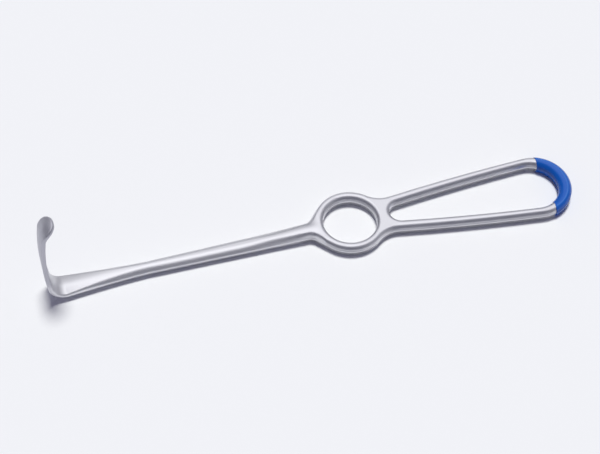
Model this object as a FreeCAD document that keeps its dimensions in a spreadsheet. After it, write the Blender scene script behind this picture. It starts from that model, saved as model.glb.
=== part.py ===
"""Handheld surgical retractor: one steel forging with a thin coat on its loop's end.

Millimetres, +Z up. The origin is the centre of the finger ring at half
thickness. +X runs from the ring to the closed end of the loop, -X to the
blade, which stands up towards +Z.
"""
import FreeCAD, Part
import Sketcher
import math
import os

DRIVING_SIZES = {
    "handle_thickness": 5.6,
    "bar_rounding": 1.7,
    "ring_bore_radius": 10.8,
    "ring_bar_flat": 0.3,
    "neck_station": 11.0,
    "neck_half_width": 7.2,
    "neck_fillet": 11.0,
    "loop_length": 92.9,
    "loop_end_radius": 14.7,
    "loop_bow_radius": 850.0,
    "hole_start": 16.5,
    "hole_start_inset": 2.5,
    "end_bar_width": 4.85,
    "side_bar_flat": 0.25,
    "flank_angle": 47.5,
    "shoulder_fillet": 3.5,
    "set_angle": 2.1,
    "root_run": 0.3,
    "root_width": 6.6,
    "section_flat": 0.3,
    "grip_station": 32.0,
    "grip_width": 6.3,
    "grip_height": 5.5,
    "taper_station": 58.0,
    "taper_width": 5.6,
    "taper_height": 5.3,
    "waist_station": 83.0,
    "waist_diameter": 5.0,
    "flare_power": 1.4,
    "blade_station": 115.1,
    "blade_width": 9.8,
    "blade_thickness": 1.7,
    "blade_edge_rounding": 0.7,
    "bend_radius": 5.95,
    "bend_turn": 83.7,
    "blade_bow_radius": 115.3,
    "blade_bow_turn": 14.8,
    "lip_roundness": 0.7,
    "lip_turn": 68.0,
    "tip_flat": 1.0,
    "coat_start": 82.4,
    "coat_thickness": 0.25,
}

# The shaft's root lies just past the fillet where each flank runs into the shaft.
TIED_SIZES = {
    "ring_wall": "2 * bar_rounding + ring_bar_flat",
    "side_bar_width": "2 * bar_rounding + side_bar_flat",
    "ring_radius": "ring_bore_radius + ring_wall",
    "flank_end": "(ring_radius - root_width / 2 * cos(flank_angle * 1 deg))"
                 " / sin(flank_angle * 1 deg)",
    "root_station": "flank_end + shoulder_fillet * tan(flank_angle / 2 * 1 deg) + root_run",
    "grip_rounding": "(grip_height - section_flat) / 2",
    "taper_rounding": "(taper_height - section_flat) / 2",
    "waist_rounding": "(waist_diameter - section_flat) / 2",
    "lip_radius": "blade_width * lip_roundness",
}

FLARE_STEPS = 6
NEAR = 1e-3
SMOOTH_ANGLE = 0.5


def make_sheet(doc):
    """Put every driving size in a named cell, then the sizes that follow from them."""
    sheet = doc.addObject("Spreadsheet::Sheet", "sizes")
    cells = {name: str(value) for name, value in DRIVING_SIZES.items()}
    cells.update({name: "=" + formula for name, formula in TIED_SIZES.items()})
    for row, (name, content) in enumerate(cells.items(), start=1):
        sheet.set("A%d" % row, name)
        sheet.set("B%d" % row, content)
        sheet.setAlias("B%d" % row, name)
    doc.recompute()
    return sheet


def origin_plane(body, role):
    return [item for item in body.Origin.OriginFeatures if item.Role == role][0]


def new_sketch(body, name, role, offset=None):
    """A sketch on one of the body's own origin planes, lifted by an expression."""
    sketch = body.newObject("Sketcher::SketchObject", name)
    sketch.AttachmentSupport = [(origin_plane(body, role), "")]
    sketch.MapMode = "FlatFace"
    if offset:
        sketch.setExpression("AttachmentOffset.Base.z", offset)
    return sketch


def bind(sketch, kind, where, value, name, formula):
    """Add a dimension to a sketch and tie it to the sheet."""
    index = sketch.addConstraint(Sketcher.Constraint(kind, *where, value))
    sketch.renameConstraint(index, name)
    sketch.setExpression("Constraints." + name, formula)


def rule(sketch, kind, *where):
    sketch.addConstraint(Sketcher.Constraint(kind, *where))


def vector(x, y):
    return FreeCAD.Vector(x, y, 0)


def arc(centre, radius, start_degrees, end_degrees):
    circle = Part.Circle(centre, FreeCAD.Vector(0, 0, 1), radius)
    return Part.ArcOfCircle(circle, math.radians(start_degrees), math.radians(end_degrees))


def circle_sketch(body, name, value, formula):
    sketch = new_sketch(body, name, "XY_Plane")
    sketch.addGeometry(Part.Circle(vector(0, 0), FreeCAD.Vector(0, 0, 1), value))
    rule(sketch, "Coincident", 0, 3, -1, 1)
    bind(sketch, "Radius", (0,), value, "radius", formula)
    return sketch


def bow_arc(centre_a, radius_a, centre_b, radius_b, bow):
    """Centre of the wide arc that closes round two circles on the X axis from above."""
    reach_a, reach_b = bow - radius_a, bow - radius_b
    span = centre_b - centre_a
    along = (reach_a ** 2 - reach_b ** 2 + span ** 2) / (2 * span)
    return vector(centre_a + along, -math.sqrt(reach_a ** 2 - along ** 2))


def polar(centre, point):
    return math.degrees(math.atan2(point.y - centre.y, point.x - centre.x))


def loop_outline(body, name, grow):
    """Outer wall of the loop, from inside the ring to the closed end."""
    value, formula = grow
    get = body.Document.sizes.get
    end_radius = get("loop_end_radius") + value
    bow = get("loop_bow_radius") + value
    end_centre = vector(get("loop_length") - get("loop_end_radius"), 0)
    neck = vector(get("neck_station"), get("neck_half_width") + value)
    chord = end_centre - neck
    middle = (neck.Length ** 2 - end_centre.Length ** 2 - bow ** 2 + (bow - end_radius) ** 2) / 2
    # The centre lies on the radical line of the two reach circles.
    foot = neck + chord * ((-middle - neck.dot(chord)) / chord.Length ** 2)
    below = vector(chord.y, -chord.x).normalize()
    centre = foot + below * math.sqrt(bow ** 2 - (foot - neck).Length ** 2)
    mirrored = vector(centre.x, -centre.y)
    touch = end_centre + (end_centre - centre).normalize() * end_radius
    turn_end, turn_neck = polar(centre, touch), polar(centre, neck)
    lean = polar(end_centre, touch)
    sketch = new_sketch(body, name, "XY_Plane")
    sketch.addGeometry([
        arc(end_centre, end_radius, -lean, lean),
        arc(centre, bow, turn_end, turn_neck),
        Part.LineSegment(neck, vector(neck.x, -neck.y)),
        arc(mirrored, bow, -turn_neck, -turn_end),
    ])
    rule(sketch, "Tangent", 0, 2, 1, 1)
    rule(sketch, "Coincident", 1, 2, 2, 1)
    rule(sketch, "Coincident", 2, 2, 3, 1)
    rule(sketch, "Tangent", 3, 2, 0, 1)
    rule(sketch, "PointOnObject", 0, 3, -1)
    rule(sketch, "Symmetric", 2, 1, 2, 2, -1)
    bind(sketch, "Radius", (0,), end_radius, "end_radius", "sizes.loop_end_radius" + formula)
    bind(sketch, "Radius", (1,), bow, "far_bow", "sizes.loop_bow_radius" + formula)
    bind(sketch, "Radius", (3,), bow, "near_bow", "sizes.loop_bow_radius" + formula)
    bind(sketch, "DistanceX", (-1, 1, 0, 3), end_centre.x, "end_centre",
         "sizes.loop_length - sizes.loop_end_radius")
    bind(sketch, "DistanceX", (-1, 1, 2, 1), neck.x, "neck_station", "sizes.neck_station")
    bind(sketch, "DistanceY", (-1, 1, 2, 1), neck.y, "neck_half_width",
         "sizes.neck_half_width" + formula)
    return sketch


def hole_outline(body, name, shrink):
    """Wall of the long hole in the loop: two rounded ends joined by bowed sides."""
    value, formula = shrink
    get = body.Document.sizes.get
    start_radius = get("neck_half_width") - get("hole_start_inset") - value
    end_radius = get("loop_end_radius") - get("side_bar_width") - value
    bow = get("loop_bow_radius") - value
    start = get("hole_start") + start_radius + value
    end = get("loop_length") - get("end_bar_width") - end_radius - value
    centre = bow_arc(start, start_radius, end, end_radius, bow)
    mirrored = vector(centre.x, -centre.y)
    lean_start = polar(centre, vector(start, 0))
    lean_end = polar(centre, vector(end, 0))
    sketch = new_sketch(body, name, "XY_Plane")
    sketch.addGeometry([
        arc(vector(end, 0), end_radius, -lean_end, lean_end),
        arc(centre, bow, lean_end, lean_start),
        arc(vector(start, 0), start_radius, lean_start, 360 - lean_start),
        arc(mirrored, bow, -lean_start, -lean_end),
    ])
    for first, second in ((0, 1), (1, 2), (2, 3), (3, 0)):
        rule(sketch, "Tangent", first, 2, second, 1)
    rule(sketch, "PointOnObject", 0, 3, -1)
    rule(sketch, "PointOnObject", 2, 3, -1)
    start_cell = "sizes.neck_half_width - sizes.hole_start_inset"
    end_cell = "sizes.loop_end_radius - sizes.side_bar_width"
    bind(sketch, "Radius", (0,), end_radius, "end_radius", end_cell + formula)
    bind(sketch, "Radius", (1,), bow, "far_bow", "sizes.loop_bow_radius" + formula)
    bind(sketch, "Radius", (2,), start_radius, "start_radius", start_cell + formula)
    bind(sketch, "Radius", (3,), bow, "near_bow", "sizes.loop_bow_radius" + formula)
    bind(sketch, "DistanceX", (-1, 1, 0, 3), end, "end_centre",
         "sizes.loop_length - sizes.end_bar_width - (" + end_cell + ")")
    bind(sketch, "DistanceX", (-1, 1, 2, 3), start, "start_centre",
         "sizes.hole_start + " + start_cell)
    return sketch


def flank_outline(body, name):
    """Flanks that run off the ring at a tangent and close on the shaft's root."""
    get = body.Document.sizes.get
    radius = get("ring_radius")
    flank = math.radians(get("flank_angle"))
    half = get("root_width") / 2
    root = get("root_station")
    touch = vector(-radius * math.sin(flank), radius * math.cos(flank))
    corner = vector(-get("flank_end"), half)
    end = vector(-root, half)
    upper = [touch, corner, end]
    lower = [vector(point.x, -point.y) for point in reversed(upper)]
    points = upper + lower
    sketch = new_sketch(body, name, "XY_Plane")
    sketch.AttachmentOffset = FreeCAD.Placement(
        FreeCAD.Vector(), FreeCAD.Rotation(FreeCAD.Vector(0, 0, 1), get("set_angle")))
    sketch.setExpression("AttachmentOffset.Rotation.Angle", "sizes.set_angle")
    for first, second in zip(points, points[1:] + points[:1]):
        sketch.addGeometry(Part.LineSegment(first, second))
    for line in range(6):
        rule(sketch, "Coincident", line, 2, (line + 1) % 6, 1)
    rule(sketch, "Symmetric", 0, 1, 4, 2, -1)
    rule(sketch, "Symmetric", 0, 2, 3, 2, -1)
    rule(sketch, "Symmetric", 1, 2, 2, 2, -1)
    rule(sketch, "Horizontal", 1)
    bind(sketch, "DistanceX", (0, 1, -1, 1), -touch.x, "touch_station",
         "sizes.ring_radius * sin(sizes.flank_angle * 1 deg)")
    bind(sketch, "DistanceY", (-1, 1, 0, 1), touch.y, "touch_half_width",
         "sizes.ring_radius * cos(sizes.flank_angle * 1 deg)")
    bind(sketch, "DistanceX", (0, 2, -1, 1), -corner.x, "flank_end", "sizes.flank_end")
    bind(sketch, "DistanceY", (-1, 1, 0, 2), half, "root_half_width", "sizes.root_width / 2")
    bind(sketch, "DistanceX", (1, 2, -1, 1), root, "root_station", "sizes.root_station")
    return sketch


def pad(body, name, sketch, formula):
    feature = body.newObject("PartDesign::Pad", name)
    feature.Profile = sketch
    feature.Midplane = True
    feature.setExpression("Length", formula)
    feature.Refine = True
    return feature


def pocket(body, name, sketch, formula):
    feature = body.newObject("PartDesign::Pocket", name)
    feature.Profile = sketch
    feature.Midplane = True
    feature.setExpression("Length", formula)
    return feature


def fillet(body, name, base, edges, formula):
    feature = body.newObject("PartDesign::Fillet", name)
    feature.Base = (base, edges)
    feature.setExpression("Radius", formula)
    return feature


def named_edges(shape, wanted):
    return ["Edge%d" % (index + 1) for index, edge in enumerate(shape.Edges) if wanted(edge)]


def is_upright(edge):
    ends = [vertex.Point for vertex in edge.Vertexes]
    return len(ends) == 2 and (ends[0] - ends[1]).cross(FreeCAD.Vector(0, 0, 1)).Length < NEAR


def lies_flat(edge, height):
    box = edge.BoundBox
    return box.ZLength < NEAR and abs(abs(box.ZMin) - height) < NEAR


def is_sharp(shape, edge):
    """True where the two faces that share an edge do not run smoothly into each other."""
    point = edge.valueAt((edge.FirstParameter + edge.LastParameter) / 2)
    normals = [face.normalAt(*face.Surface.parameter(point))
               for face in shape.ancestorsOfType(edge, Part.Face)]
    return normals[0].getAngle(normals[-1]) > SMOOTH_ANGLE


def make_handle(doc):
    """Ring, flanks and loop as one flat forging with rounded bars."""
    get = doc.sizes.get
    body = doc.addObject("PartDesign::Body", "handle")
    thickness = "sizes.handle_thickness"
    ring_radius = get("ring_radius")
    disc = circle_sketch(body, "ring_disc", ring_radius, "sizes.ring_radius")
    pad(body, "ring_blank", disc, thickness)
    pad(body, "loop_blank", loop_outline(body, "loop_outline", (0.0, "")), thickness)
    blank = pad(body, "flank_blank", flank_outline(body, "flank_outline"), thickness)
    doc.recompute()

    def is_neck(edge):
        point = edge.Vertexes[0].Point
        on_ring = abs(math.hypot(point.x, point.y) - ring_radius) < NEAR
        return is_upright(edge) and point.x > 0 and on_ring

    necks = fillet(body, "neck_rounding", blank, named_edges(blank.Shape, is_neck),
                   "sizes.neck_fillet")
    doc.recompute()

    turn = FreeCAD.Rotation(FreeCAD.Vector(0, 0, 1), -get("set_angle"))
    root = get("root_station")

    def is_shoulder(edge):
        point = turn.multVec(edge.Vertexes[0].Point)
        past_ring = math.hypot(point.x, point.y) > ring_radius + NEAR
        return is_upright(edge) and past_ring and -root + NEAR < point.x < 0

    shoulders = fillet(body, "shoulder_rounding", necks,
                       named_edges(necks.Shape, is_shoulder), "sizes.shoulder_fillet")
    bore = circle_sketch(body, "ring_bore", get("ring_bore_radius"), "sizes.ring_bore_radius")
    pocket(body, "ring_hole", bore, thickness)
    opened = pocket(body, "loop_hole", hole_outline(body, "hole_outline", (0.0, "")), thickness)
    doc.recompute()

    def is_rim(edge):
        at_root = all(turn.multVec(vertex.Point).x < -root + NEAR for vertex in edge.Vertexes)
        return lies_flat(edge, get("handle_thickness") / 2) and not at_root

    fillet(body, "bar_rounding", opened, named_edges(opened.Shape, is_rim),
           "sizes.bar_rounding")
    doc.recompute()
    return body


def rounded_section(body, name, station, width, height, rounding):
    """A rounded rectangle across the shaft; each argument is a formula on the sheet."""
    sketch = new_sketch(body, name, "YZ_Plane", "-(" + station + ")")
    side, rise, radius = 6.0, 4.0, 1.0
    right, top = side / 2 - radius, rise / 2 - radius
    corners = [vector(right, -top), vector(right, top), vector(-right, top), vector(-right, -top)]
    sketch.addGeometry([
        Part.LineSegment(vector(-right, -rise / 2), vector(right, -rise / 2)),
        arc(corners[0], radius, 270, 360),
        Part.LineSegment(vector(side / 2, -top), vector(side / 2, top)),
        arc(corners[1], radius, 0, 90),
        Part.LineSegment(vector(right, rise / 2), vector(-right, rise / 2)),
        arc(corners[2], radius, 90, 180),
        Part.LineSegment(vector(-side / 2, top), vector(-side / 2, -top)),
        arc(corners[3], radius, 180, 270),
    ])
    for edge in range(8):
        rule(sketch, "Tangent", edge, 2, (edge + 1) % 8, 1)
    for line, way in ((0, "Horizontal"), (2, "Vertical"), (4, "Horizontal"), (6, "Vertical")):
        rule(sketch, way, line)
    for first, second in ((1, 3), (3, 5), (5, 7)):
        rule(sketch, "Equal", first, second)
    rule(sketch, "Symmetric", 0, 2, 4, 2, -1, 1)
    bind(sketch, "DistanceX", (0, 1, 0, 2), 2 * right, "flat_width",
         width + " - 2 * (" + rounding + ")")
    bind(sketch, "DistanceY", (2, 1, 2, 2), 2 * top, "flat_height",
         height + " - 2 * (" + rounding + ")")
    bind(sketch, "Radius", (1,), radius, "rounding", rounding)
    return sketch


def blade_path(get):
    """Centres, radii and turning angles of the three arcs along the blade."""
    bend, bow, lip = get("bend_radius"), get("blade_bow_radius"), get("lip_radius")
    facing = [270.0, 270.0 - get("bend_turn")]
    facing.append(facing[1] - get("blade_bow_turn"))
    facing.append(facing[2] - get("lip_turn"))

    def spoke(degrees, length):
        return vector(length * math.cos(math.radians(degrees)),
                      length * math.sin(math.radians(degrees)))

    centres = [vector(-get("blade_station"), bend)]
    centres.append(centres[0] + spoke(facing[1], bend - bow))
    centres.append(centres[1] + spoke(facing[2], bow - lip))
    points = [centre + spoke(angle, radius)
              for centre, angle, radius in zip(centres, facing[1:], (bend, bow, lip))]
    return centres, (bend, bow, lip), facing, points


def path_sketch(body, name):
    get = body.Document.sizes.get
    centres, radii, facing, _ = blade_path(get)
    sketch = new_sketch(body, name, "XZ_Plane")
    for centre, radius, start, end in zip(centres, radii, facing, facing[1:]):
        sketch.addGeometry(arc(centre, radius, end, start))
    rule(sketch, "PointOnObject", 0, 2, -1)
    rule(sketch, "Tangent", 0, 1, 1, 2)
    rule(sketch, "Tangent", 1, 1, 2, 2)
    bind(sketch, "DistanceX", (0, 2, -1, 1), get("blade_station"), "station",
         "sizes.blade_station")
    rule(sketch, "Vertical", 0, 2, 0, 3)
    names = ("bend", "bow", "lip")
    cells = (("sizes.bend_radius", "sizes.bend_turn"),
             ("sizes.blade_bow_radius", "sizes.blade_bow_turn"),
             ("sizes.lip_radius", "sizes.lip_turn"))
    for index, (label, (radius_cell, turn_cell)) in enumerate(zip(names, cells)):
        bind(sketch, "Radius", (index,), radii[index], label + "_radius", radius_cell)
        turn = math.radians(facing[index] - facing[index + 1])
        bind(sketch, "Angle", (index,), turn, label + "_turn", turn_cell + " * 1 deg")
    return sketch


def flare_sections(body):
    """Sections from the round waist to the flat strip, opening ever faster along the flare."""
    sections = []
    for step in range(1, FLARE_STEPS + 1):
        run = "%d / %d" % (step, FLARE_STEPS)
        opening = "(" + run + ") ^ sizes.flare_power"
        sections.append(rounded_section(
            body, "flare_%d" % step,
            "sizes.waist_station + (sizes.blade_station - sizes.waist_station) * " + run,
            "sizes.waist_diameter + (sizes.blade_width - sizes.waist_diameter) * " + opening,
            "sizes.waist_diameter + (sizes.blade_thickness - sizes.waist_diameter) * " + opening,
            "sizes.waist_rounding + (sizes.blade_edge_rounding - sizes.waist_rounding) * "
            + opening))
    return sections


def make_shaft(doc):
    """The shaft, lofted from its root through a round waist to the flat strip of the blade."""
    body = doc.addObject("PartDesign::Body", "shaft")
    sections = [
        rounded_section(body, "root", "sizes.root_station", "sizes.root_width",
                        "sizes.handle_thickness", "sizes.bar_rounding"),
        rounded_section(body, "grip", "sizes.grip_station", "sizes.grip_width",
                        "sizes.grip_height", "sizes.grip_rounding"),
        rounded_section(body, "taper", "sizes.taper_station", "sizes.taper_width",
                        "sizes.taper_height", "sizes.taper_rounding"),
        rounded_section(body, "waist", "sizes.waist_station", "sizes.waist_diameter",
                        "sizes.waist_diameter", "sizes.waist_rounding"),
    ] + flare_sections(body)
    doc.recompute()
    loft = body.newObject("PartDesign::AdditiveLoft", "shaft_loft")
    loft.Profile = sections[0]
    loft.Sections = sections[1:]
    loft.Ruled = True
    doc.recompute()
    return body


def strip_section(body):
    """Square-edged section of the strip where the blade begins."""
    get = body.Document.sizes.get
    half, rise = get("blade_width") / 2, get("blade_thickness") / 2
    corners = [vector(-half, -rise), vector(half, -rise), vector(half, rise), vector(-half, rise)]
    sketch = new_sketch(body, "strip_section", "YZ_Plane", "-sizes.blade_station")
    for first, second in zip(corners, corners[1:] + corners[:1]):
        sketch.addGeometry(Part.LineSegment(first, second))
    for line in range(4):
        rule(sketch, "Coincident", line, 2, (line + 1) % 4, 1)
    for line, way in ((0, "Horizontal"), (1, "Vertical"), (2, "Horizontal"), (3, "Vertical")):
        rule(sketch, way, line)
    rule(sketch, "Symmetric", 0, 1, 1, 2, -1, 1)
    bind(sketch, "DistanceX", (0, 1, 0, 2), 2 * half, "width", "sizes.blade_width")
    bind(sketch, "DistanceY", (1, 1, 1, 2), 2 * rise, "thickness", "sizes.blade_thickness")
    return sketch


def make_blade(doc):
    """The strip swept round its bend, bow and lip, with a rounded tip and soft edges."""
    get = doc.sizes.get
    body = doc.addObject("PartDesign::Body", "blade")
    profile = strip_section(body)
    path = path_sketch(body, "blade_path")
    doc.recompute()
    strip = body.newObject("PartDesign::AdditivePipe", "bent_strip")
    strip.Profile = profile
    strip.Spine = (path, ["Edge1", "Edge2", "Edge3"])
    doc.recompute()
    half = get("blade_width") / 2
    start = -get("blade_station")
    lip_end = blade_path(get)[3][2]
    tip = FreeCAD.Vector(lip_end.x, 0, lip_end.y)

    def is_tip_corner(edge):
        middle = edge.CenterOfMass
        return abs(abs(middle.y) - half) < NEAR and (middle - tip).Length < half + NEAR

    tipped = fillet(body, "tip_rounding", strip, named_edges(strip.Shape, is_tip_corner),
                    "(sizes.blade_width - sizes.tip_flat) / 2")
    doc.recompute()

    def is_rim(edge):
        joins_shaft = all(abs(vertex.X - start) < NEAR for vertex in edge.Vertexes)
        return is_sharp(tipped.Shape, edge) and not joins_shaft

    fillet(body, "edge_rounding", tipped, named_edges(tipped.Shape, is_rim),
           "sizes.blade_edge_rounding")
    doc.recompute()
    return body


def make_coated_end(doc):
    """The closed end of the loop, grown all round by the thin coat that is bonded to it."""
    thickness = doc.sizes.get("coat_thickness")
    full = "sizes.handle_thickness + 2 * sizes.coat_thickness"
    body = doc.addObject("PartDesign::Body", "coat_form")
    outline = loop_outline(body, "coat_outline", (thickness, " + sizes.coat_thickness"))
    pad(body, "coat_blank", outline, full)
    hole = hole_outline(body, "coat_hole_outline", (thickness, " - sizes.coat_thickness"))
    opened = pocket(body, "coat_hole", hole, full)
    doc.recompute()
    height = doc.sizes.get("handle_thickness") / 2 + thickness
    neck = doc.sizes.get("neck_station") + NEAR

    def is_rim(edge):
        at_neck = all(vertex.Point.x < neck for vertex in edge.Vertexes)
        return lies_flat(edge, height) and not at_neck

    fillet(body, "coat_rounding", opened, named_edges(opened.Shape, is_rim),
           "sizes.bar_rounding + sizes.coat_thickness")
    doc.recompute()

    zone = doc.addObject("Part::Box", "coat_zone")
    zone.setExpression("Length", "sizes.loop_length")
    zone.setExpression("Width", "sizes.loop_end_radius * 4")
    zone.setExpression("Height", "sizes.handle_thickness * 2")
    zone.setExpression("Placement.Base.x", "sizes.coat_start")
    zone.setExpression("Placement.Base.y", "-sizes.loop_end_radius * 2")
    zone.setExpression("Placement.Base.z", "-sizes.handle_thickness")
    end = doc.addObject("Part::Common", "coated_end")
    end.Base = body
    end.Tool = zone
    doc.recompute()
    return end


def make_retractor(doc):
    """The whole tool in one solid: handle, shaft, blade and coated end."""
    handle = make_handle(doc)
    arm = [make_shaft(doc), make_blade(doc)]
    for body in arm:
        body.Placement = FreeCAD.Placement(
            FreeCAD.Vector(),
            FreeCAD.Rotation(FreeCAD.Vector(0, 0, 1), doc.sizes.get("set_angle")))
        body.setExpression("Placement.Rotation.Angle", "sizes.set_angle")
    retractor = doc.addObject("Part::MultiFuse", "retractor_body")
    retractor.Shapes = [handle] + arm + [make_coated_end(doc)]
    retractor.Refine = True
    retractor.Label = "retractor_body"
    doc.recompute()
    return retractor


def check(doc, piece):
    for item in doc.Objects:
        if "Invalid" in item.State or "Error" in item.State:
            raise RuntimeError("%s did not build" % item.Name)
    shape = piece.Shape
    if shape.isNull() or not shape.isValid() or len(shape.Solids) != 1:
        raise RuntimeError("%s is not one sound solid" % piece.Label)
    box = shape.optimalBoundingBox()
    print("%s: %.1f mm3, x %.2f to %.2f, y %.2f to %.2f, z %.2f to %.2f" % (
        piece.Label, shape.Volume, box.XMin, box.XMax, box.YMin, box.YMax, box.ZMin, box.ZMax))


def main():
    doc = FreeCAD.newDocument("retractor")
    make_sheet(doc)
    retractor = make_retractor(doc)
    check(doc, retractor)
    os.makedirs("parts", exist_ok=True)
    retractor.Shape.exportStep("parts/%s.step" % retractor.Label)


main()
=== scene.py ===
"""Handheld surgical retractor in satin steel with a glossy blue coat on the end of its loop."""
import bpy
from math import cos, pi, radians, sin
from mathutils import Matrix, Vector


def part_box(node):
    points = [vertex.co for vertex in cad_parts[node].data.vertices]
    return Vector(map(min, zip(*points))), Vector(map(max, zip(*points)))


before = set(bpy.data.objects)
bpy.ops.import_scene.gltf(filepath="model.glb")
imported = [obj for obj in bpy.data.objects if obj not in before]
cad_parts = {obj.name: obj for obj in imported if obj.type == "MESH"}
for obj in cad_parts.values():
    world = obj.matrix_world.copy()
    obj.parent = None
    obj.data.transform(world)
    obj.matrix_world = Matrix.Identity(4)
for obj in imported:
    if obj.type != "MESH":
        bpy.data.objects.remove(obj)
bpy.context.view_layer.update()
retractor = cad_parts["retractor_body"]

# Lengths are in metres. Inside the materials they are in mm, from the ring's centre and the
# handle's middle plane, and the noise scales are per metre.
MM = 1000.0
FLOOR_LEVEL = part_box("retractor_body")[0].z
GROUND_SIZE = 6.0

CAMERA_PLACE = Vector((-0.11566, -0.34144, 0.48052))
CAMERA_YAW = radians(15.54)
CAMERA_PITCH = radians(53.37)
CAMERA_ROLL = radians(1.91)
CAMERA_LENS = 90.0
CAMERA_NEAR = 0.01

# Where each change of the steel starts and is complete, along the shaft towards the blade, and
# then in height. The shaft is set at an angle to the loop's axis.
SET_ANGLE = radians(2.1)
NECK_START, NECK_END = (12.0, 17.0), (30.0, 45.0)
SHAFT_START = (15.0, 32.0)
BRUSHED_START = (60.0, 105.0)
BEND_START = (96.0, 110.0)
BLADE_LEVELS = (4.0, 12.0)
TOP_LEVELS = (1.6, 2.9)

# Satin steel. The tone is a share between the dark and the light colour. On the blade the share is
# lowered as painted shade for its upright faces.
STEEL_DARK = (0.455, 0.455, 0.51, 1.0)
STEEL_LIGHT = (0.77, 0.77, 0.795, 1.0)
HANDLE_TONE, SHAFT_TONE_RISE, BLADE_PAINTED_SHADE = 0.86, 0.10, 0.78
STEEL_METAL, SHAFT_METAL_FALL = 0.95, 0.09
STEEL_ROUGH, SHAFT_ROUGHER, BLADE_ROUGHER, TOP_ROUGHER = 0.31, 0.11, 0.09, 0.13
GRAIN_SCALE, GRAIN_TONE, GRAIN_ROUGH = 5200.0, 0.10, 0.05
CLOUD_SCALE, CLOUD_TONE, CLOUD_ROUGH = 95.0, 0.10, 0.06
STROKE_SCALE = (160.0, 3600.0, 3600.0)
GRAIN_HEIGHT, GRAIN_BRUSHED_OFF, STROKE_HEIGHT = 0.003, 0.5, 0.002
NOISE_MIDDLE = 0.5

# Heights that round the steel's shading: sides that look oval, and crowned tops. The outline
# is the solid's own.
SHAFT_OVAL_FALL, OVAL_FALL = 0.42, 0.8
SHOULDER = 0.003
SHAFT_FLATNESS, SHAFT_TILT = 0.012, 0.13
NECK_CROWN, NECK_FALL = 0.11, 0.05
FLARE_CROWN, FLARE_CREST_WIDTH = 0.25, 3.0
FLARE_TWIST, TAPER_TWIST = 0.0016, 0.016

# Blue coat on the loop's closed end, with the step's own faces, which lie within the margin.
# The arcs are those of the end's outline and of its hole.
COAT_START = 0.0824
COAT_MARGIN = 0.0001
OUTER_CENTRE, OUTER_RADIUS = 78.2, 14.95
HOLE_CENTRE, HOLE_RADIUS = 77.0, 10.8
BLUE_DARK = (0.002, 0.078, 0.415, 1.0)
BLUE_LIGHT = (0.003, 0.096, 0.475, 1.0)
# Lighter blue painted along the coat's crest as a highlight.
BLUE_PAINTED_HIGHLIGHT = (0.060, 0.200, 0.560, 1.0)
COAT_CLOUD_SCALE = 130.0
PEEL_SCALE, PEEL_ROUGH, PEEL_HEIGHT = 420.0, 0.04, 0.01
COAT_ROUGH, COAT_SPECULAR = 0.16, 0.40

# The coat's crest is this share of the half width off the middle, towards the outside.
CREST_SHIFT = 0.30
COAT_CROWN, CREST_SOFTNESS = 0.85, 0.06
COAT_OVAL, COAT_OVAL_FALL = 0.86, 0.41
# Painted highlight along the crest: its share, how fast it narrows off the crest, and the levels
# where it starts on top.
PAINTED_HIGHLIGHT_SHARE, PAINTED_HIGHLIGHT_FALL = 0.45, 140.0
PAINTED_HIGHLIGHT_LEVELS = (1.5, 2.5)

# The room: what the camera sees, what lights the ground, and what the steel reflects.
PALE = (0.880, 0.888, 0.930, 1.0)
GROUND = (0.800, 0.807, 0.845, 1.0)
GROUND_ROUGH = 0.9
AMBIENT = (0.160, 0.155, 0.225, 1.0)
KEY_DIRECTION = Vector((0.06, 0.16, 0.985))
KEY_SPREAD = radians(14.0)
KEY_POWER = 3.0
KEY_COLOUR = (1.003, 1.008, 0.935)
STUDIO_DARK = (0.135, 0.135, 0.18, 1.0)
STUDIO_RANGE = 2.0
STUDIO_BRIGHT = tuple(level + STUDIO_RANGE for level in STUDIO_DARK[:3]) + (1.0,)

# Each glow: where it is, the cosines at its edge and at its full light, and its strength.
SOFTBOX_DIRECTION, SOFTBOX_EDGES, SOFTBOX_GLOW = (0.0, 0.34, 0.940), (0.62, 0.97), 1.12
CORE_DIRECTION, CORE_EDGES, CORE_GLOW = (0.0, 0.16, 0.987), (0.86, 0.985), 0.42
BACK_EDGES, BACK_GLOW = (0.75, 0.97), 0.15
SIDE_EDGES, SIDE_GLOW = (0.35, 0.75), 0.20

# The colour sockets of a Mix node have names that it uses twice, so they go by number.
MIX_FACTOR, MIX_FIRST, MIX_SECOND, MIX_RESULT = 0, 6, 7, 2


class Wire:
    """A socket that can stand in sums like a number; each sum adds a Math node."""

    def __init__(self, tree, socket):
        self.tree = tree
        self.socket = socket

    def maths(self, operation, *values):
        return add_node(self.tree, "ShaderNodeMath", {"operation": operation},
                        dict(enumerate(values)))

    def __add__(self, other):
        return self.maths("ADD", self, other)

    def __radd__(self, other):
        return self.maths("ADD", other, self)

    def __sub__(self, other):
        return self.maths("SUBTRACT", self, other)

    def __rsub__(self, other):
        return self.maths("SUBTRACT", other, self)

    def __mul__(self, other):
        return self.maths("MULTIPLY", self, other)

    def __rmul__(self, other):
        return self.maths("MULTIPLY", other, self)

    def __truediv__(self, other):
        return self.maths("DIVIDE", self, other)

    def __rtruediv__(self, other):
        return self.maths("DIVIDE", other, self)

    def __pow__(self, other):
        return self.maths("POWER", self, other)

    def limited(self):
        """The value kept between 0 and 1."""
        return add_node(self.tree, "ShaderNodeClamp", {}, {"Value": self})


def set_sockets(tree, node, sockets):
    """Give a node's sockets their values or links."""
    for name, value in sockets.items():
        if isinstance(value, Wire):
            tree.links.new(value.socket, node.inputs[name])
        else:
            node.inputs[name].default_value = value


def add_node(tree, kind, settings, sockets, output=0):
    """Add a node, set it up, then fill its sockets; returns one of its outputs."""
    node = tree.nodes.new(kind)
    for name, value in settings.items():
        setattr(node, name, value)
    set_sockets(tree, node, sockets)
    return Wire(tree, node.outputs[output])


def ramp(value, low, high):
    """0 below low and 1 above high, with a smooth rise between."""
    return add_node(value.tree, "ShaderNodeMapRange", {"interpolation_type": "SMOOTHSTEP"},
                    {"Value": value, "From Min": low, "From Max": high})


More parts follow.
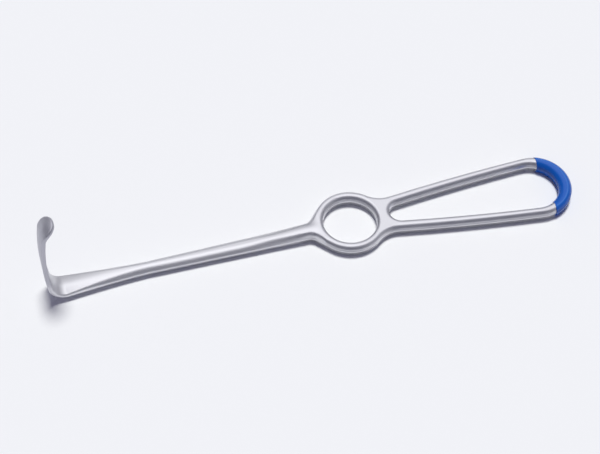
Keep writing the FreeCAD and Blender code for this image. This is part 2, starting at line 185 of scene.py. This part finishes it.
def mixed(factor, first, second):
    """Two colours mixed by a factor."""
    return add_node(factor.tree, "ShaderNodeMix", {"data_type": "RGBA"},
                    {MIX_FACTOR: factor, MIX_FIRST: first, MIX_SECOND: second}, MIX_RESULT)


def noise(place, scale, detail=2.0, roughness=0.5):
    return add_node(place.tree, "ShaderNodeTexNoise", {},
                    {"Vector": place, "Scale": scale, "Detail": detail,
                     "Roughness": roughness})


def stretched(place, scale):
    """Coordinates scaled by a different amount along each axis."""
    return add_node(place.tree, "ShaderNodeVectorMath", {"operation": "MULTIPLY"},
                    {0: place, 1: scale})


def facing(direction, target):
    """Cosine of the angle between a direction and a fixed one."""
    return add_node(direction.tree, "ShaderNodeVectorMath", {"operation": "DOT_PRODUCT"},
                    {0: direction, 1: target}, "Value")


def bump(height):
    """Shading for a height in mm."""
    return add_node(height.tree, "ShaderNodeBump", {},
                    {"Height": height, "Distance": 1.0 / MM, "Strength": 1.0})


def split(vector):
    """The three components of a vector."""
    first = add_node(vector.tree, "ShaderNodeSeparateXYZ", {}, {"Vector": vector})
    return [Wire(vector.tree, output) for output in first.socket.node.outputs]


def length_of(x, y):
    return (x * x + y * y) ** 0.5


def new_material(name):
    material = bpy.data.materials.new(name)
    material.use_nodes = True
    return material


def place_on(material):
    """The object's own coordinates."""
    return add_node(material.node_tree, "ShaderNodeTexCoord", {}, {}, "Object")


def finished(material, sockets):
    """Fill the sockets of a material's shader."""
    shader = material.node_tree.nodes["Principled BSDF"]
    set_sockets(material.node_tree, shader, sockets)
    return material


def oval_sides(along, level, shaft):
    """Height that makes the handle's and the shaft's sides look oval, up to the bend."""
    square = level * level
    before_bend = 1.0 - ramp(along, *BEND_START)
    return ((1.0 - shaft * SHAFT_OVAL_FALL) * before_bend / (1.0 + square * OVAL_FALL)
            + square * square * (1.0 - shaft) * SHOULDER)


def crowned_top(along, across, shaft, brushed):
    """Height that rounds the top of the neck, the shaft and the flare."""
    spread = across * across
    neck = ramp(along, *NECK_START) * (1.0 - ramp(along, *NECK_END))
    plain_shaft = shaft * (1.0 - brushed)
    twist = brushed * FLARE_TWIST + brushed * (1.0 - brushed) * TAPER_TWIST
    return (spread * plain_shaft * SHAFT_FLATNESS - across * plain_shaft * SHAFT_TILT
            - neck * NECK_CROWN * spread / (1.0 + spread * NECK_FALL)
            - (spread + FLARE_CREST_WIDTH) ** 0.5 * brushed * FLARE_CROWN
            - across * spread * twist)


def satin_steel():
    """Blasted forging, smoother on the handle's sides, brushed on the flare, with painted shade
    darkening the blade.
    """
    material = new_material("satin_steel")
    place = place_on(material)
    x, y, z = split(place)
    along = (x * cos(SET_ANGLE) + y * sin(SET_ANGLE)) * -MM
    across = (y * cos(SET_ANGLE) - x * sin(SET_ANGLE)) * MM
    level = z * MM
    shaft = ramp(along, *SHAFT_START)
    brushed = ramp(along, *BRUSHED_START)
    blade = ramp(level, *BLADE_LEVELS)
    top = ramp(level, *TOP_LEVELS)
    grain = noise(place, GRAIN_SCALE, detail=3.0, roughness=0.6)
    cloud = noise(place, CLOUD_SCALE, detail=3.0, roughness=0.55)
    strokes = noise(stretched(place, STROKE_SCALE), 1.0)
    mottle = (cloud - NOISE_MIDDLE) * CLOUD_TONE + (grain - NOISE_MIDDLE) * GRAIN_TONE
    # The blade's lowered tone is painted shade, not a darker steel.
    tone = HANDLE_TONE + shaft * SHAFT_TONE_RISE - blade * BLADE_PAINTED_SHADE + mottle
    rough = (STEEL_ROUGH + shaft * SHAFT_ROUGHER + blade * BLADE_ROUGHER
             + (cloud - NOISE_MIDDLE) * CLOUD_ROUGH + (grain - NOISE_MIDDLE) * GRAIN_ROUGH
             + top * (1.0 - shaft) * TOP_ROUGHER)
    relief = (grain * (1.0 - brushed * GRAIN_BRUSHED_OFF) * GRAIN_HEIGHT
              + strokes * brushed * STROKE_HEIGHT
              + oval_sides(along, level, shaft) + crowned_top(along, across, shaft, brushed))
    return finished(material, {
        "Base Color": mixed(tone.limited(), STEEL_DARK, STEEL_LIGHT),
        "Metallic": STEEL_METAL - shaft * SHAFT_METAL_FALL,
        "Roughness": rough,
        "Normal": bump(relief),
    })


def blue_coat():
    """Smooth glossy coat with a faint orange-peel surface, a crowned top, and a painted highlight of
    lighter blue along its crest.
    """
    material = new_material("blue_coat")
    place = place_on(material)
    x, y, z = split(place)
    side = y * MM
    level = z * MM
    inner = length_of(x * MM - HOLE_CENTRE, side) - HOLE_RADIUS
    outer = OUTER_RADIUS - length_of(x * MM - OUTER_CENTRE, side)
    off_crest = (inner - outer) / (inner + outer) - CREST_SHIFT
    square = off_crest * off_crest
    crown = ((square + CREST_SOFTNESS) ** 0.5 * -COAT_CROWN
             + COAT_OVAL / (1.0 + level * level * COAT_OVAL_FALL))
    # Painted highlight: lighter blue along the crest, on the upper faces only.
    painted_highlight = PAINTED_HIGHLIGHT_SHARE / (1.0 + square * PAINTED_HIGHLIGHT_FALL) * ramp(level, *PAINTED_HIGHLIGHT_LEVELS)
    peel = noise(place, PEEL_SCALE)
    cloud = noise(place, COAT_CLOUD_SCALE)
    return finished(material, {
        "Base Color": mixed(painted_highlight, mixed(cloud, BLUE_DARK, BLUE_LIGHT), BLUE_PAINTED_HIGHLIGHT),
        "Roughness": COAT_ROUGH + (peel - NOISE_MIDDLE) * PEEL_ROUGH,
        "Specular IOR Level": COAT_SPECULAR,
        "Normal": bump(crown + peel * PEEL_HEIGHT),
    })


def pale_ground():
    return finished(new_material("pale_ground"), {
        "Base Color": GROUND,
        "Roughness": GROUND_ROUGH,
        "Specular IOR Level": 0.0,
    })


def dress_retractor():
    """Steel all over, and the coat on the faces of the loop's closed end."""
    mesh = retractor.data
    mesh.materials.clear()
    mesh.materials.append(satin_steel())
    mesh.materials.append(blue_coat())
    for face in mesh.polygons:
        face.material_index = int(face.center.x > COAT_START - COAT_MARGIN)


def lay_ground():
    bpy.ops.mesh.primitive_plane_add(size=GROUND_SIZE, location=(0.0, 0.0, FLOOR_LEVEL))
    ground = bpy.context.object
    ground.name = "ground"
    ground.data.materials.append(pale_ground())


def studio_light(direction):
    """What the steel reflects: a dark room with glows overhead, behind and beside."""
    right, back, _ = split(direction)
    overhead = ramp(facing(direction, SOFTBOX_DIRECTION), *SOFTBOX_EDGES)
    core = ramp(facing(direction, CORE_DIRECTION), *CORE_EDGES)
    glow = (ramp(back, *BACK_EDGES) * BACK_GLOW + ramp(right, *SIDE_EDGES) * SIDE_GLOW
            + overhead * SOFTBOX_GLOW + core * CORE_GLOW)
    return mixed(glow / STUDIO_RANGE, STUDIO_DARK, STUDIO_BRIGHT)


def light_room():
    """A pale even room, the studio for reflections, and a soft key light from above."""
    world = bpy.data.worlds.new("room")
    world.use_nodes = True
    bpy.context.scene.world = world
    tree = world.node_tree
    direction = add_node(tree, "ShaderNodeTexCoord", {}, {}, "Generated")
    seen = add_node(tree, "ShaderNodeLightPath", {}, {}, "Is Camera Ray")
    glossy = add_node(tree, "ShaderNodeLightPath", {}, {}, "Is Glossy Ray")
    light = mixed(seen, mixed(glossy, AMBIENT, studio_light(direction)), PALE)
    set_sockets(tree, tree.nodes["Background"], {"Color": light})
    key = bpy.data.lights.new("key", "SUN")
    key.energy = KEY_POWER
    key.color = KEY_COLOUR
    key.angle = KEY_SPREAD
    stand = bpy.data.objects.new("key", key)
    stand.rotation_euler = KEY_DIRECTION.to_track_quat("Z", "Y").to_euler()
    stand.visible_glossy = False
    bpy.context.scene.collection.objects.link(stand)


def place_camera():
    camera = bpy.data.cameras.new("camera")
    camera.lens = CAMERA_LENS
    camera.clip_start = CAMERA_NEAR
    stand = bpy.data.objects.new("camera", camera)
    turn = (Matrix.Rotation(-CAMERA_YAW, 4, "Z") @ Matrix.Rotation(pi / 2 - CAMERA_PITCH, 4, "X")
            @ Matrix.Rotation(CAMERA_ROLL, 4, "Z"))
    stand.matrix_world = Matrix.Translation(CAMERA_PLACE) @ turn
    bpy.context.scene.collection.objects.link(stand)
    bpy.context.scene.camera = stand


dress_retractor()
lay_ground()
light_room()
place_camera()
bpy.context.scene.view_settings.view_transform = "Standard"
